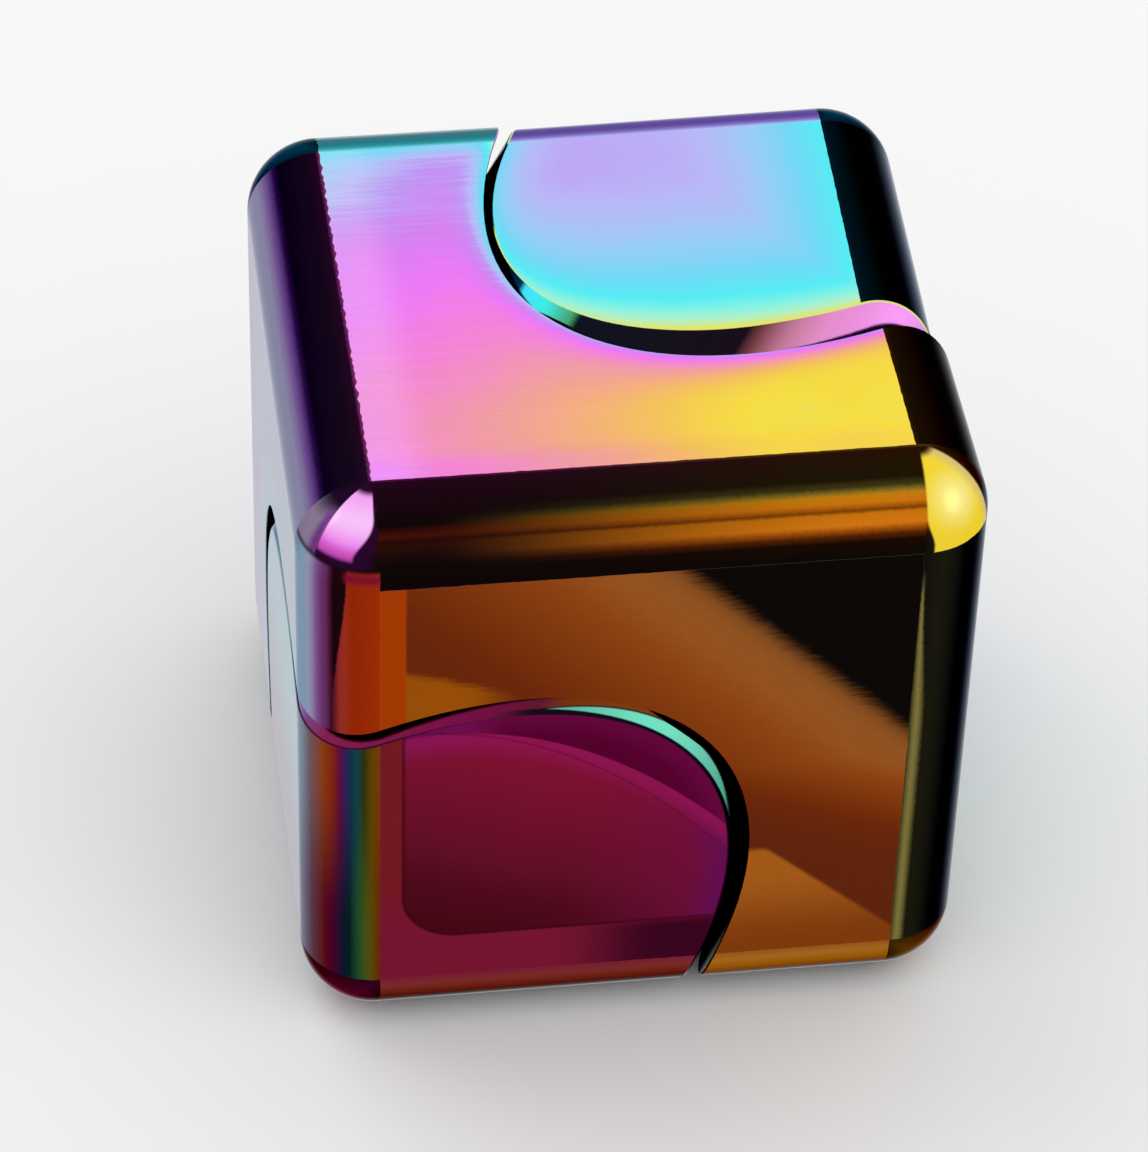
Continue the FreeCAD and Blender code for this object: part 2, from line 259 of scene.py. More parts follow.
class Skin:
    """Where a point lies on one piece of the rounded cube, in that piece's own unturned frame.

    around and radius are counted about the diagonal, depth inward from the outer skin. skin and wall
    are 1 on the outer skin and on the side wall of the gap. out and across are their exact normals.
    wall_side is 1 where that wall looks away from the diagonal, and -1 where it looks towards it.
    """

    def __init__(self, point, wall_radius, wall_side):
        self.point = point
        self.x, self.y, self.z = parts(point)
        core = vector("MINIMUM", vector("MAXIMUM", point, (-CORE,) * 3), (CORE,) * 3)
        out = vector("SUBTRACT", point, core)
        along = vector("DOT_PRODUCT", point, tuple(DIAGONAL))
        radial = vector("SUBTRACT", point, scaled(tuple(DIAGONAL), along))
        self.radius = vector("LENGTH", radial)
        around = [vector("DOT_PRODUCT", radial, tuple(axis)) for axis in (AROUND_SIDE, AROUND_UP)]
        self.around = calc("ARCTAN2", around[1], around[0]) * DEGREES
        self.depth = EDGE - vector("LENGTH", out)
        self.skin = abs(self.depth) < ON_SURFACE
        self.wall = (abs(self.radius - wall_radius) < ON_SURFACE) * (1 - self.skin)
        self.out = vector("NORMALIZE", out)
        self.across = scaled(vector("NORMALIZE", radial), wall_side)
        wobble = noise(point, scale=2.4, detail=1.0) * 0.06                    # every border's
        scallops = noise(joined(0.0, self.y * 2.5, 0.0), detail=0.0) * 0.22    # the left side's
        self.sides = {}
        for name, place in (("right", self.x), ("left", scallops - self.x), ("back", self.y),
                            ("front", -self.y), ("top", self.z), ("bottom", -self.z)):
            self.sides[name] = fade(place + wobble, CORE - SIDE_BLEND, CORE + SIDE_BLEND)

    def side(self, *names):
        """Share of the point that lies on the named side, or on the edge or corner they share."""
        share = self.sides[names[0]]
        for name in names[1:]:
            share = share * self.sides[name]
        return share

    def turn(self, first, second):
        """Degrees an edge has turned through: 0 at the first side, 90 at the second."""
        axes = {"right": 0, "left": 0, "back": 1, "front": 1, "top": 2, "bottom": 2}
        leans = [abs(lean) for lean in parts(self.out)]
        angle = calc("ARCTAN2", leans[axes[second]], leans[axes[first]])
        return angle * DEGREES


def finish(colour, rough, bump, normal=None, rim_light=RIM_LIGHT):
    """Complete a material: metal that keeps its colour, but for the rim light, at a flat angle."""
    tree = colour.tree
    shader = tree.nodes["Principled BSDF"]
    glance = vector("ADD", scaled(colour, 1 - GLANCE_SHARE), (GLANCE_SHARE,) * 3)
    tint = mix_vector(rim_light, vector("DIVIDE", colour, glance), (1.0, 1.0, 1.0))
    feed(tree, shader.inputs["Base Color"], colour)
    feed(tree, shader.inputs["Specular Tint"], tint)
    feed(tree, shader.inputs["Roughness"], rough)
    shader.inputs["Metallic"].default_value = 1.0
    relief = tree.nodes.new("ShaderNodeBump")
    relief.inputs["Strength"].default_value = BUMP_STRENGTH
    relief.inputs["Distance"].default_value = BUMP_HEIGHT * MM
    feed(tree, relief.inputs["Height"], bump)
    if normal is not None:
        feed(tree, relief.inputs["Normal"], normal)
    tree.links.new(relief.outputs["Normal"], shader.inputs["Normal"])


def new_material(name):
    """A new material, and the place of each surface point in millimetres."""
    material = bpy.data.materials.new(name)
    material.use_nodes = True
    tree = material.node_tree
    place = tree.nodes.new("ShaderNodeTexCoord")
    return material, scaled(Field(tree, place.outputs["Object"]), 1 / MM)


def world_normal(tree, skin, angle):
    """The exact shape's smooth normal, and the mesh's own anywhere else inside the gap."""
    mesh = tree.nodes.new("ShaderNodeNewGeometry")
    own = turned(mix_vector(skin.skin, skin.across, skin.out), angle)
    turner = tree.nodes.new("ShaderNodeVectorTransform")
    turner.vector_type = "NORMAL"
    turner.convert_from = "OBJECT"
    turner.convert_to = "WORLD"
    feed(tree, turner.inputs[0], own)
    exact = Field(tree, turner.outputs[0])
    known = calc("MAXIMUM", skin.skin, skin.wall)
    return vector("NORMALIZE", mix_vector(known, Field(tree, mesh.outputs["Normal"]), exact))


# ---------------------------------------------------------------- colours of the rounded edges
# Each edge is laid out in degrees from its first side to its second. An edge whose colours change
# along it has a table for either end. Their light and dark is painted reflection in the coating's
# colours: dark stretches mirror dark surroundings, bright bands lit ones, and the pale blue-grey
# ends, where an edge turns from view, are a painted glancing sheen.
TOP_FRONT_LEFT_END = [
    (0, (88, 20, 70)), (3, (35, 6, 26)), (12, (29, 6, 19)), (40, (15, 6, 7)), (44, (48, 10, 7)),
    (48, (62, 17, 9)), (51, (38, 10, 7)), (56, (40, 12, 8)), (62, (26, 10, 8)), (70, (13, 8, 7)),
    (90, (15, 6, 5)),
]
TOP_FRONT_RIGHT_END = [
    (0, (86, 54, 16)), (3, (37, 16, 4)), (28, (27, 21, 5)), (34, (60, 52, 18)), (37, (112, 96, 32)),
    (40.5, (188, 122, 14)), (46, (200, 112, 14)), (50, (150, 78, 9)), (51.5, (112, 58, 8)),
    (54, (196, 112, 14)), (62, (208, 116, 18)), (66, (156, 76, 10)), (70, (84, 34, 4)),
    (75, (26, 10, 3)), (90, (9, 9, 7)),
]
TOP_LEFT = [
    (0, (120, 48, 104)), (3, (34, 9, 33)), (12, (22, 9, 26)), (36, (17, 7, 28)), (41, (44, 22, 72)),
    (48, (104, 72, 138)), (54, (126, 108, 152)), (61, (136, 134, 162)), (90, (132, 136, 166)),
]
TOP_RIGHT_BODY = [
    (0, (46, 26, 5)), (4, (26, 15, 7)), (46, (22, 14, 11)), (52, (18, 20, 30)), (60, (26, 32, 50)),
    (68, (40, 52, 76)), (90, (70, 92, 120)),
]
TOP_RIGHT_CAP = [
    (0, (8, 30, 42)), (5, (8, 22, 28)), (20, (13, 18, 18)), (44, (16, 18, 22)), (52, (18, 32, 50)),
    (60, (34, 52, 84)), (70, (60, 76, 116)), (90, (96, 104, 150)),
]
FRONT_RIGHT = [
    (0, (18, 15, 11)), (15, (27, 26, 15)), (26, (22, 22, 18)), (46, (12, 15, 22)), (56, (13, 24, 42)),
    (64, (20, 40, 68)), (74, (40, 64, 96)), (90, (60, 84, 112)),
]
# The olive line is a painted reflection.
OLIVE_REFLECTION_LINE = (122, 112, 58)                     # along the front right edge
# The dark wedge is a painted dark reflection.
DARK_REFLECTION_WEDGE = (28, 6, 14)                        # down the front left edge
FRONT_LEFT_BODY = [
    (0, (158, 45, 3)), (20, (145, 37, 6)), (27, (150, 45, 26)), (31, (143, 43, 40)), (35, (95, 25, 35)),
    (38, (58, 14, 38)), (42, (95, 42, 84)), (47, (108, 55, 114)), (52, (122, 84, 140)),
    (57, (144, 126, 164)), (62, (140, 150, 176)), (72, (124, 152, 178)), (90, (98, 128, 150)),
]
FRONT_LEFT_CAP_UPPER = [
    (0, (120, 55, 5)), (6, (95, 65, 5)), (12, (40, 50, 12)), (18, (12, 65, 68)), (23, (20, 45, 78)),
    (28, (65, 22, 85)), (32, (100, 18, 50)), (37, (130, 36, 18)), (46, (135, 60, 22)),
    (60, (112, 88, 92)), (72, (118, 130, 150)), (90, (100, 136, 152)),
]
FRONT_LEFT_CAP_LOWER = [
    (0, (105, 35, 5)), (7, (88, 70, 8)), (12, (60, 82, 20)), (18, (26, 70, 42)), (24, (5, 30, 34)),
    (30, (20, 20, 45)), (35, (50, 12, 46)), (41, (80, 8, 38)), (46, (86, 20, 25)), (60, (96, 60, 72)),
    (72, (104, 100, 124)), (90, (92, 108, 130)),
]
TOP_BACK_BODY = [
    (0, (96, 206, 216)), (4, (52, 146, 156)), (9, (44, 124, 136)), (20, (70, 118, 128)),
    (30, (150, 176, 190)), (44, (60, 104, 128)), (58, (20, 30, 60)), (78, (24, 18, 54)),
    (90, (92, 70, 160)),
]
TOP_BACK_CAP = [
    (0, (170, 176, 236)), (4, (128, 112, 192)), (9, (100, 78, 156)), (20, (92, 76, 150)),
    (32, (136, 128, 178)), (44, (70, 60, 120)), (58, (24, 22, 52)), (78, (16, 30, 48)),
    (90, (70, 150, 160)),
]
FRONT_BOTTOM_BODY = [
    (0, (150, 84, 26)), (8, (166, 104, 34)), (20, (150, 88, 26)), (30, (96, 48, 14)),
    (40, (34, 14, 8)), (66, (22, 10, 10)), (90, (30, 16, 20)),
]
FRONT_BOTTOM_CAP = [
    (0, (118, 30, 52)), (8, (124, 44, 40)), (20, (104, 40, 30)), (30, (52, 16, 22)),
    (44, (30, 10, 20)), (66, (24, 8, 20)), (90, (34, 14, 30)),
]
BACK_LEFT = [
    (0, (78, 60, 150)), (6, (30, 18, 58)), (24, (18, 12, 34)), (36, (22, 52, 74)), (44, (46, 140, 140)),
    (52, (74, 150, 92)), (58, (30, 50, 40)), (66, (16, 14, 26)), (90, (40, 28, 70)),
]
BACK_RIGHT = [
    (0, (40, 126, 150)), (8, (22, 70, 110)), (16, (30, 34, 86)), (26, (74, 20, 92)), (36, (120, 22, 72)),
    (46, (150, 52, 30)), (56, (136, 104, 34)), (64, (52, 104, 60)), (74, (18, 60, 66)),
    (90, (14, 26, 40)),
]
BOTTOM_SIDE = [
    (0, (90, 40, 92)), (6, (30, 12, 36)), (30, (16, 10, 20)), (42, (58, 20, 74)), (50, (40, 66, 132)),
    (58, (30, 104, 112)), (66, (16, 30, 34)), (90, (14, 10, 16)),
]

# The body's front, in millimetres rightward and upward across it.
COPPER = [
    (-8.0, (97, 37, 15)), (-4.0, (98, 38, 14)), (0.0, (109, 40, 11)), (2.5, (122, 50, 13)),
    (5.0, (134, 60, 16)), (7.0, (143, 69, 20)), (9.0, (152, 82, 32)), (10.8, (146, 84, 34)),
    (12.5, (117, 70, 32)),
]
GOLD = (164, 90, 26)
BRONZE = (128, 58, 14)
GOLD_BY_THE_CAP = (158, 82, 10)
DARK_REFLECTION_UPPER_RIGHT = (13, 9, 7)
ORANGE_REFLECTION_STRIP = (163, 58, 4)

# The lower cap's front, in millimetres upward and a little rightward across it. Its crimson darkens
# towards the bottom as painted shade.
CRIMSON = [
    (-10.0, (66, 8, 20)), (-7.0, (80, 11, 28)), (-5.0, (98, 16, 38)), (-3.0, (108, 16, 42)),
    (-1.0, (118, 18, 46)), (1.0, (127, 18, 50)), (3.0, (136, 18, 56)),
]
VIOLET_RIGHT = (114, 14, 66)
VIOLET_RIM = (98, 15, 84)
PINK_BAND = (144, 22, 84)
BAND_LINE = (84, 8, 40)
# The plum segment and its rim are a painted dark reflection.
PLUM_DARK_REFLECTION = (84, 2, 44)
PLUM_RIM = (100, 8, 60)
MARGIN_LEFT = (116, 26, 34)
MARGIN_BELOW = (118, 22, 48)
MARGIN_RIGHT_SHADE = (58, 5, 32)
PANEL_LINE = (62, 5, 22)
PANEL_CORNER = (-7.6, -6.2)                     # centre of the dark panel's rounded corner, x and z
PANEL_ROUNDING = 2.37                           # radius of that corner

# Colours of the caps' side walls, in degrees about the diagonal. Their near-black stretches are painted
# shade in the gap.
UPPER_WALL = [
    (-140, (110, 130, 136)), (-128, (6, 28, 46)), (-104, (7, 32, 62)), (-101, (6, 48, 82)),
    (-99.6, (60, 205, 235)), (-93, (55, 215, 205)), (-87, (70, 160, 110)), (-85.4, (14, 20, 32)),
    (-56, (24, 14, 25)), (-53.4, (122, 66, 72)), (-49, (192, 120, 150)), (-44, (225, 140, 198)),
    (-31, (245, 152, 244)), (-26, (225, 150, 226)), (-18, (150, 120, 190)),
]
LOWER_WALL = [
    (-112, (128, 150, 170)), (-101, (124, 128, 156)), (-96, (104, 62, 118)), (-90, (128, 30, 74)),
    (-78, (122, 22, 70)), (-66, (110, 16, 64)), (-58, (96, 24, 44)), (-54, (116, 50, 12)),
    (-40, (124, 62, 18)), (-24, (84, 38, 14)), (-14, (24, 8, 10)), (10, (12, 5, 8)),
]
# A dark line of painted shade in the gap; the turquoise crescent is the coating painted bright as a
# highlight where the wall faces up.
PAINTED_GAP_LINE_SHADE = (18, 12, 24)
CRESCENT_MIDDLE = -31.0
CRESCENT_HALF = 26.0                            # half its length
TURQUOISE_HIGHLIGHT = (116, 224, 194)
DEEP_TURQUOISE = (86, 160, 140)
FAR_WALL = (112, 114, 150)                      # where the angle turns over, at 180 degrees
FAR_WALL_BLEND = (135, 176)                     # degrees over which that colour takes over


def layered(base, layers):
    """Each (share, colour) laid over the ones before it."""
    for share, colour in layers:
        base = mix(share, base, colour)
    return base


def edge(skin, first, second, stops, shift=0.0):
    """An edge as (share, colour), laid out in degrees from its first side to its second."""
    return skin.side(first, second), bands(skin.turn(first, second) + shift, stops)


def dark_corner(skin, phase, *names):
    """A corner as (share, colour): deep coating darkened as a painted reflection of dark surroundings,
    with a painted sheen lighter in its middle.
    """
    nx, ny, nz = parts(skin.out)
    middle = calc("MINIMUM", calc("MINIMUM", abs(nx), abs(ny)), abs(nz))
    colour = dimmed(film(phase + nz * 0.06 + nx * 0.05, 1.0), 0.12 + middle * 0.9)
    return skin.side(*names), colour


def streaked(skin):
    """Fine tool marks: small shifts and light changes."""
    return noise(skin.point, scale=5.0, detail=3.0)


# ---------------------------------------------------------------- the middle body
def body_top(skin, drift, mill):
    """Magenta along the left, running to yellow at the right front and to cyan at the rim."""
    x, y = skin.x, skin.y
    gap = skin.radius - POCKET_RADIUS
    # evenly across the face, from yellow at the right front
    ramp = 0.213 - (x + 7.5) * 0.0172 + (calc("MAXIMUM", y, -7.5) + 7.5) * 0.0187
    phase = calc("MAXIMUM", ramp, drift * 0.02)
    # faster and faster towards the pocket's rim
    phase = phase + exponential(gap * -2.2) * (0.3 + calc("MAXIMUM", x + 5.0, 0.0) * 0.02)
    # a little further along the front and along the back
    phase = phase + fade(y, -9.0, -10.6) * (0.03 + fade(x, 4.0, -5.0) * 0.04)
    phase = phase + fade(y, 9.7, 11.2) * 0.11
    # the left margin runs ahead towards the front and lags near its middle
    left_margin = fade(x, -8.0, -10.0)
    phase = phase + left_margin * (fade(y, -5.0, -8.0) * 0.05 - hump(y, 3.5, 6.0) * 0.045)
    colour = film(phase + mill * 0.085 + drift * 0.03, 0.0)
    # a painted highlight along the left margin
    colour = mix(left_margin * 0.12, colour, WHITE)
    return dimmed(colour, 1.0 + mill * 0.2)


def body_front(skin, marks):
    """Copper, growing lighter to a black upper right corner of painted dark reflection; golden by the
    lower cap.
    """
    x, z = skin.x, skin.z
    hairs = noise(joined(x * 0.8, skin.y * 0.5, z * 7.0), detail=4.0, roughness=0.7)
    slope = x + z + calc("MINIMUM", z, 0.0) * 1.5 + marks * 0.5
    colour = bands(slope + hairs * 0.6, COPPER)
    lower_right = fade(x + z * 1.1, 0.1, -0.3) * fade(z, -4.7, -5.1)
    colour = mix(lower_right, colour, mix(fade(z, -6.0, -10.5), GOLD, BRONZE))
    by_the_cap = fade(z + (x + 9.8) * 0.35 + hairs, 6.7, 6.1) * fade(x, -5.0, -7.5)
    colour = mix(by_the_cap * 0.9, colour, GOLD_BY_THE_CAP)
    # a painted dark reflection over the upper right corner
    colour = mix(fade(x + z + hairs * 1.3, 11.4, 12.9), colour, DARK_REFLECTION_UPPER_RIGHT)
    # a strip of painted orange reflection along the left, running on from the front left edge
    colour = mix(fade(x, -9.8, -9.9), colour, ORANGE_REFLECTION_STRIP)
    return dimmed(colour, 1.0 + hairs * 0.16 + marks * 0.08)


# The pink petal on the front left top corner is a painted highlight; its dark outline is painted
# reflection.
PETAL = (232, 116, 232)
PETAL_HIGHLIGHT = (246, 190, 246)
PETAL_FOOT = (196, 74, 180)
PETAL_OUTLINE = (40, 7, 42)
CRIMSON_FOOT = (122, 18, 42)
LEFT_OF_PETAL = (134, 118, 144)
LEFT_OF_PETAL_TOP = (30, 8, 36)
LEFT_OF_PETAL_LINE = (106, 52, 124)


def front_left_corner(skin, top_front, upright):
    """Pink petal, a painted highlight, with a dark outline of painted reflection, over the top of the
    front left edge.
    """
    nz = parts(skin.out)[2]                     # 0 at the foot of the corner, 1 at the top face
    azimuth = skin.turn("front", "left")
    colour = mix(fade(nz, 0.3, 0.22), top_front, upright)
    colour = mix(hump(nz, 0.17, 0.14) * fade(azimuth, 30.0, 24.0), colour, CRIMSON_FOOT)
    # towards the left side: a dark painted reflection near the top, a pale painted glancing sheen lower
    # down
    beyond = mix(fade(nz, 0.88, 0.62), LEFT_OF_PETAL_TOP, LEFT_OF_PETAL)
    beyond = mix(hump(azimuth, 60.0, 10.0) * fade(nz, 0.86, 0.74), beyond, LEFT_OF_PETAL_LINE)
    colour = mix(fade(azimuth, 53.0, 58.0) * fade(nz, 0.26, 0.36), colour, beyond)
    right_limit = 4.0 + fade(nz, 0.84, 0.42) * 18.0
    petal = fade(azimuth - right_limit, -2.0, 2.0) * fade(azimuth, 57.0, 54.0)
    petal = petal * fade(nz, 0.36, 0.44) * fade(nz, 0.985, 0.955)
    outline = fade(azimuth - right_limit, -22.0, -6.0) * fade(azimuth, 57.5, 55.0)
    outline = outline * fade(nz, 0.24, 0.34)
    colour = mix(outline, colour, PETAL_OUTLINE)
    pink = mix(hump(nz, 0.8, 0.32), PETAL, PETAL_HIGHLIGHT)
    pink = mix(fade(nz, 0.6, 0.42), pink, PETAL_FOOT)
    return mix(petal, colour, pink)


# The yellow blob on the front right top corner is a painted highlight, brightest at one point.
BLOB = (241, 210, 54)
BLOB_HIGHLIGHT = (247, 234, 138)
BLOB_HIGHLIGHT_TOWARDS = (0.42, -0.66, 0.62)         # where on the corner the blob is brightest
BLOB_RIGHT = (216, 192, 116)
BLOB_MARGIN = (40, 22, 6)


def front_right_corner(skin, top_front, upright):
    """Yellow blob, a painted highlight, with a dark margin of painted reflection."""
    nx, ny, nz = parts(skin.out)
    glow = vector("LENGTH", vector("SUBTRACT", skin.out, BLOB_HIGHLIGHT_TOWARDS))
    toward_right = nx * 0.42 + ny * 0.91        # above 0 round on the right side
    yellow = mix(fade(glow, 0.5, 0.05), BLOB, BLOB_HIGHLIGHT)
    yellow = mix(fade(toward_right, -0.2, 0.0), yellow, BLOB_RIGHT)
    blob = fade(nx - fade(nz, 0.5, 0.1) * 0.1, 0.01, 0.05) * fade(toward_right, 0.05, 0.0)
    blob = blob * fade(nz, 0.992, 0.965)
    margin = mix(fade(nx, 0.1, 0.4), top_front, BLOB_MARGIN)
    return mix(blob, mix(fade(nz, 0.5, 0.2), margin, upright), yellow)


def top_front_edge(skin, marks):
    """Painted dark reflection, with a band of painted reflection that grows from dull red on the left to
    orange on the right.
    """
    turn = skin.turn("top", "front") + marks * 2.0
    left_end = bands(turn, TOP_FRONT_LEFT_END)
    right_end = bands(turn, TOP_FRONT_RIGHT_END)
    return mix(fade(skin.x, -9.0, 9.5), left_end, right_end)


def front_left_edge(skin, marks):
    """Painted reflections, orange running to a blue-grey glancing sheen, parted by a dark wedge of
    painted reflection that is widest at its top.
    """
    turn = skin.turn("front", "left") + marks * 1.8
    half_width = fade(skin.z, 4.5, 11.5) * 5.5
    wedge = fade(abs(turn - 36.5 + half_width) - half_width, 1.5, -0.5) * fade(skin.z, 4.5, 6.5)
    return mix(wedge, bands(turn, FRONT_LEFT_BODY), DARK_REFLECTION_WEDGE)


def front_right_edge(skin, marks):
    """Painted dark reflection, with an olive line of painted reflection down it that narrows upward."""
    turn = skin.turn("front", "right") + marks * 1.8
    width = 2.2 + fade(skin.z, 9.5, 1.0) * 6.5
    line = fade(abs(turn - width * 0.6), width * 0.8, 0.0) * fade(skin.z, 10.2, 8.0)
    return mix(line, bands(turn, FRONT_RIGHT), OLIVE_REFLECTION_LINE)


def body_edges(skin, marks):
    """The body's rounded edges and corners, as (share, colour)."""
    top_front = top_front_edge(skin, marks)
    front_left = front_left_edge(skin, marks)
    front_right = front_right_edge(skin, marks)
    return [
        edge(skin, "front", "bottom", FRONT_BOTTOM_BODY),
        edge(skin, "left", "bottom", BOTTOM_SIDE),
        edge(skin, "right", "bottom", BOTTOM_SIDE),
        edge(skin, "back", "bottom", BOTTOM_SIDE),
        edge(skin, "back", "left", BACK_LEFT),
        edge(skin, "back", "right", BACK_RIGHT),
        edge(skin, "top", "back", TOP_BACK_BODY),
        edge(skin, "top", "right", TOP_RIGHT_BODY),
        edge(skin, "top", "left", TOP_LEFT, marks * 2.7),
        (skin.side("front", "right"), front_right),
        (skin.side("front", "left"), front_left),
        (skin.side("top", "front"), top_front),
        (skin.side("top", "front", "left"), front_left_corner(skin, top_front, front_left)),
        (skin.side("top", "front", "right"), front_right_corner(skin, top_front, front_right)),
        dark_corner(skin, 0.66, "top", "back", "left"),
        dark_corner(skin, 0.62, "top", "back", "right"),
        dark_corner(skin, 0.05, "bottom", "front", "right"),
        dark_corner(skin, 0.36, "bottom", "front", "left"),
        dark_corner(skin, 0.48, "bottom", "back", "left"),
        dark_corner(skin, 0.62, "bottom", "back", "right"),
    ]


LEFT_GLANCING_SHEEN = (128, 130, 142)
TOP_RIM = (196, 140, 236)
LOWER_RIM_LEFT = (100, 40, 12)
LOWER_RIM_RIGHT_SHADE = (30, 8, 10)
PAINTED_GAP_SHADE = (9, 5, 9)
PAINTED_POCKET_SHADE = (22, 20, 26)


def paint_body():
    material, point = new_material("rainbow_body")
    tree = point.tree
    skin = Skin(point, POCKET_RADIUS, -1.0)
    x, y, z = skin.x, skin.y, skin.z
    marks = streaked(skin)
    drift = noise(point, scale=0.25, detail=1.0)
    mill = noise(joined(x * 0.2, y * 4.5, z * 0.2), detail=3.0, roughness=0.7)
    rim_rise = exponential((skin.radius - POCKET_RADIUS) * -1.4) * 0.3
    top = body_top(skin, drift, mill)
    left_film = film(0.56 - y * 0.004 + rim_rise * 0.5 + drift * 0.06, 0.3)
    # the left face, seen at a glancing angle, is mostly a pale grey painted glancing sheen over the film
    left = mix(0.7, left_film, LEFT_GLANCING_SHEEN)
    right = film(0.83 - y * 0.016 + z * 0.014 + rim_rise + drift * 0.06, 0.55 + drift * 0.3)
    back = film(0.42 + x * 0.018 - z * 0.012 + rim_rise + drift * 0.06, 0.45 + drift * 0.3)
    under = film(0.22 + x * 0.012 + y * 0.016 + rim_rise, 0.8)
    colour = layered(top, [
        (skin.side("front"), body_front(skin, marks)), (skin.side("left"), left),
        (skin.side("right"), right), (skin.side("back"), back), (skin.side("bottom"), under),
        (skin.side("top"), top),
    ] + body_edges(skin, marks))

    # the gap's wall and the pocket inside are painted shade, as is the lower right of the pocket's rim
    lower_rim = mix(fade(skin.around, -30.0, -15.0), LOWER_RIM_LEFT, LOWER_RIM_RIGHT_SHADE)
    rim = mix(skin.side("top"), lower_rim, TOP_RIM)
    pocket = fade(skin.radius, POCKET_RADIUS - 0.04, POCKET_RADIUS - 0.1)
    colour = layered(colour, [
        (1 - skin.skin, rim), (skin.wall, PAINTED_GAP_SHADE), (pocket, PAINTED_POCKET_SHADE),
    ])
    rough = 0.16 + mill * 0.10 + marks * 0.05
    normal = world_normal(tree, skin, 0.0)
    finish(colour, rough, mill * 0.9 + marks * 0.3, normal, (1 - skin.wall) * RIM_LIGHT)
    return material


# ---------------------------------------------------------------- the caps
def upper_cap_top(skin, rim_rise, drift, mill):
    """Lilac at the back, running through blue to cyan along the rim."""
    fall = 9.0 - calc("MINIMUM", skin.y, 9.0)
    toward_right = calc("MAXIMUM", skin.x - 4.0, 0.0) / 6.9
    rise = calc("MAXIMUM", fall * fall * 0.0018, toward_right * toward_right * 0.2)
    phase = 0.52 + rise + skin.x * 0.002
    return film(phase + rim_rise + drift * 0.02 + mill * 0.012, 0.0)


def lower_cap_front(skin, drift, marks):
    """Crimson panel in a margin, darker towards the bottom as painted shade, with a plum segment of
    painted dark reflection at the upper right above a pink band.
    """
    x, z = skin.x, skin.z
    colour = bands(z + (x + 4.0) * 0.35 + drift, CRIMSON)
    colour = mix(fade(x, -4.0, 5.0) * 0.7, colour, VIOLET_RIGHT)
    colour = mix(fade(skin.radius, 11.2, 12.6) * 0.85, colour, VIOLET_RIM)
    # above 0 in the plum segment, whose lower side is a shallow curve
    across = x + 1.0
    segment = z + across * 0.656 + across * across * 0.0466 - 0.6
    colour = mix(fade(segment, -1.6, -0.1) * fade(segment, 0.1, 0.0) * 0.8, colour, PINK_BAND)
    colour = mix(hump(segment + x * 0.12 + 0.9, 0.0, 0.1) * 0.5, colour, BAND_LINE)
    # the plum segment is a painted dark reflection
    plum = mix(fade(skin.radius, 11.6, 12.5), PLUM_DARK_REFLECTION, PLUM_RIM)
    colour = mix(fade(segment, -0.04, 0.08) * fade(x, -8.0, -5.5), colour, plum)

    # how far left of and below the centre of the panel's rounded corner
    left_of = calc("MINIMUM", x - PANEL_CORNER[0], 0.0)
    below = calc("MINIMUM", z - PANEL_CORNER[1], 0.0)
    corner = vector("LENGTH", joined(left_of, below, 0.0))
    margin = mix(fade(z, -5.0, -8.0), MARGIN_LEFT, MARGIN_BELOW)
    # darker at the lower right of the margin: painted shade
    margin = mix(fade(z, -8.0, -9.0) * fade(x, -4.0, 1.0), margin, MARGIN_RIGHT_SHADE)
    colour = mix(fade(corner, PANEL_ROUNDING - 0.05, PANEL_ROUNDING + 0.05), colour, margin)
    colour = mix(hump(corner, PANEL_ROUNDING - 0.03, 0.14) * 0.7, colour, PANEL_LINE)
    return dimmed(colour, 1.0 + marks * 0.2)


def lower_cap_wall(skin):
    """Like the cap's front on the left, then a thin turquoise crescent painted bright as a highlight,
    and black painted shade on the right.
    """
    around, depth = skin.around, skin.depth
    along = (around - CRESCENT_MIDDLE) / CRESCENT_HALF
    bend = along * along                        # 0 in the crescent's middle, 1 at its tips
    crescent_from = 0.09 + bend * 0.08
    crescent_to = crescent_from + (1 - bend) * 0.3
    beyond_from = calc("MAXIMUM", crescent_to, 0.15)
    beyond = bands(around, LOWER_WALL)
    # a dark line of painted shade in the gap
    dark = mix(fade(around, -66.0, -58.0), beyond, PAINTED_GAP_LINE_SHADE)
    colour = mix(fade(depth - beyond_from, 0.0, 0.05), dark, beyond)
    crescent = fade(depth - crescent_from, -0.02, 0.02) * fade(crescent_to - depth, -0.01, 0.03)
    turquoise = mix(hump(around, -36.0, 26.0), DEEP_TURQUOISE, TURQUOISE_HIGHLIGHT)
    return mix(crescent * fade(bend, 1.0, 0.95), colour, turquoise)


def cap_edges(skin, marks):
    """The two caps' rounded edges and corners, as (share, colour)."""
    turn = skin.turn("front", "left") + marks * 2.4
    upper_end = bands(turn, FRONT_LEFT_CAP_UPPER)
    lower_end = bands(turn, FRONT_LEFT_CAP_LOWER)
    return [
        edge(skin, "top", "right", TOP_RIGHT_CAP, marks * 1.8),
        edge(skin, "top", "back", TOP_BACK_CAP),
        edge(skin, "back", "right", BACK_RIGHT),
        edge(skin, "left", "bottom", BOTTOM_SIDE),
        edge(skin, "front", "bottom", FRONT_BOTTOM_CAP),
        (skin.side("front", "left"), mix(fade(skin.z, 1.0, -8.0), upper_end, lower_end)),
        dark_corner(skin, 0.62, "top", "right", "back"),
        dark_corner(skin, 0.36, "bottom", "left", "front"),
    ]


LEFT_BLUE = (98, 146, 164)
LEFT_MAUVE = (104, 98, 122)
UPPER_RIM_HIGHLIGHT = (214, 226, 120)
LOWER_RIM = (64, 12, 48)
PAINTED_BOSS_SHADE = (40, 38, 44)


